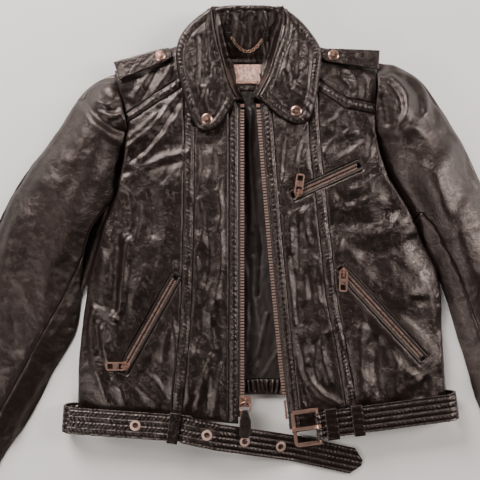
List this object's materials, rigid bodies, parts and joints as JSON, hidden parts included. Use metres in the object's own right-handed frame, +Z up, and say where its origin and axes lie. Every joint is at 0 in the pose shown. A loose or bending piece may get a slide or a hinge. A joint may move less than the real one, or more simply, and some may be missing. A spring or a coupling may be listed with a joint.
{
  "type": "leather riding jacket",
  "caption": "Cropped leather riding jacket lying flat on its back: open front zip, zipped slanting pockets, snapped collar and shoulder straps, and a buckled hem belt with a long tail.",
  "frame": {"origin": "under the middle of the jacket's outline, on the surface it lies on", "axes": "+X towards the sleeve on the right as seen from above with the collar away from the viewer, +Y from hem to collar, +Z up out of the front of the jacket"},
  "size_m": [0.902, 0.65, 0.0443],
  "materials": {
    "leather": "glossy, creased, near-black brown lambskin",
    "sleeve_leather": "satin, near-black brown lambskin",
    "belt_leather": "satin, doubled and closely stitched",
    "lining": "charcoal satin",
    "zip_tape": "woven tape",
    "label": "woven satin, blank, stitched border",
    "antique_copper": "antique copper plate, worn bright on edges"
  },
  "bodies": {
    "jacket": {"back_lining": "lining", "back_neck_facing": "leather", "back_panel": "leather", "back_waistband": "leather", "back_yoke": "leather", "belt_back": "belt_leather", "belt_eyelets": "antique_copper", "belt_left": "belt_leather", "belt_loops": "belt_leather", "belt_right": "belt_leather", "collar_back_fall": "leather", "collar_stand": "leather", "front_centre_panel_L": "leather", "front_centre_panel_R": "leather", "front_facings": "leather", "front_linings": "lining", "front_side_panel_L": "leather", "front_side_panel_R": "leather", "hanger_chain": "antique_copper", "hanger_tabs": "leather", "main_zip_stops_box_and_pin": "antique_copper", "main_zip_tapes": "zip_tape", "main_zip_teeth": "antique_copper", "neck_label": "label", "plackets": "leather", "pocket_bags": "lining", "pocket_welts": "leather", "pocket_zip_tapes": "zip_tape", "pocket_zip_teeth": "antique_copper", "princess_bands": "leather", "shoulder_yoke_L": "leather", "shoulder_yoke_R": "leather", "sleeve_linings": "lining", "snap_studs": "antique_copper", "top_sleeve_L": "sleeve_leather", "top_sleeve_R": "sleeve_leather", "under_sleeve_L": "sleeve_leather", "under_sleeve_R": "sleeve_leather", "yoke_bands": "leather"},
    "main_slider": {"main_slider": "antique_copper"},
    "main_pull": {"main_pull_ring": "antique_copper", "main_pull_tab": "belt_leather"},
    "chest_slider": {"chest_pocket_slider": "antique_copper"},
    "chest_pull": {"chest_pocket_pull": "antique_copper"},
    "right_slider": {"right_pocket_slider": "antique_copper"},
    "right_pull": {"right_pocket_pull": "antique_copper"},
    "left_slider": {"left_pocket_slider": "antique_copper"},
    "left_pull": {"left_pocket_pull": "antique_copper"},
    "buckle": {"buckle_frame": "antique_copper"},
    "prong": {"buckle_prong": "antique_copper"},
    "keeper": {"belt_keeper": "belt_leather"},
    "epaulette_L": {"epaulette_L": "leather", "epaulette_snap_L": "antique_copper"},
    "epaulette_R": {"epaulette_R": "leather", "epaulette_snap_R": "antique_copper"},
    "collar_leaf_L": {"collar_leaf_L": "leather", "collar_snap_L": "antique_copper"},
    "collar_leaf_R": {"collar_leaf_R": "leather", "collar_snap_R": "antique_copper"}
  },
  "joints": [
    {"name": "main_zip_slide", "type": "slide", "parent": "jacket", "child": "main_slider", "axis": [0, 1, 0], "range_m": [0, 0.33]},
    {"name": "main_pull_swing", "type": "hinge", "parent": "main_slider", "child": "main_pull", "pos_m": [0.0039, -0.187, 0.0283], "axis": [-1, 0, 0], "range_deg": [0, 100]},
    {"name": "chest_zip_slide", "type": "slide", "parent": "jacket", "child": "chest_slider", "axis": [0.91, 0.4147, 0], "range_m": [0, 0.078]},
    {"name": "chest_pull_swing", "type": "hinge", "parent": "chest_slider", "child": "chest_pull", "pos_m": [0.07273, 0.08524, 0.028], "axis": [0.9903, -0.1392, 0], "range_deg": [0, 100]},
    {"name": "right_zip_slide", "type": "slide", "parent": "jacket", "child": "right_slider", "axis": [0.6769, -0.7361, 0], "range_m": [0, 0.143]},
    {"name": "right_pull_swing", "type": "hinge", "parent": "right_slider", "child": "right_pull", "pos_m": [0.13203, -0.01821, 0.028], "axis": [-0.9994, 0.0349, 0], "range_deg": [0, 100]},
    {"name": "left_zip_slide", "type": "slide", "parent": "jacket", "child": "left_slider", "axis": [0.4921, 0.8706, 0], "range_m": [0, 0.123]},
    {"name": "left_pull_swing", "type": "hinge", "parent": "left_slider", "child": "left_pull", "pos_m": [-0.15252, -0.14039, 0.028], "axis": [0, 1, 0], "range_deg": [0, 100]},
    {"name": "buckle_tilt", "type": "hinge", "parent": "jacket", "child": "buckle", "pos_m": [0.099, -0.217, 0.0323], "axis": [-0.134, 0.991, 0], "range_deg": [0, 60]},
    {"name": "prong_swing", "type": "hinge", "parent": "buckle", "child": "prong", "pos_m": [0.099, -0.217, 0.0323], "axis": [-0.134, 0.991, 0], "range_deg": [0, 80]},
    {"name": "keeper_slide", "type": "slide", "parent": "jacket", "child": "keeper", "axis": [0.991, 0.134, 0], "range_m": [0, 0.016]},
    {"name": "epaulette_lift_L", "type": "hinge", "parent": "jacket", "child": "epaulette_L", "pos_m": [-0.16356, 0.24367, 0.03019], "axis": [0.3248, -0.9432, 0.0698], "range_deg": [0, 85]},
    {"name": "epaulette_lift_R", "type": "hinge", "parent": "jacket", "child": "epaulette_R", "pos_m": [0.17802, 0.25818, 0.03019], "axis": [0.0956, 0.993, -0.0698], "range_deg": [0, 85]},
    {"name": "collar_turn_L", "type": "hinge", "parent": "jacket", "child": "collar_leaf_L", "pos_m": [-0.0215, 0.266, 0.03556], "axis": [-0.2689, 0.9614, 0.0577], "range_deg": [0, 90]},
    {"name": "collar_turn_R", "type": "hinge", "parent": "jacket", "child": "collar_leaf_R", "pos_m": [0.035, 0.2675, 0.03565], "axis": [-0.2676, -0.9618, -0.0577], "range_deg": [0, 90]}
  ]
}
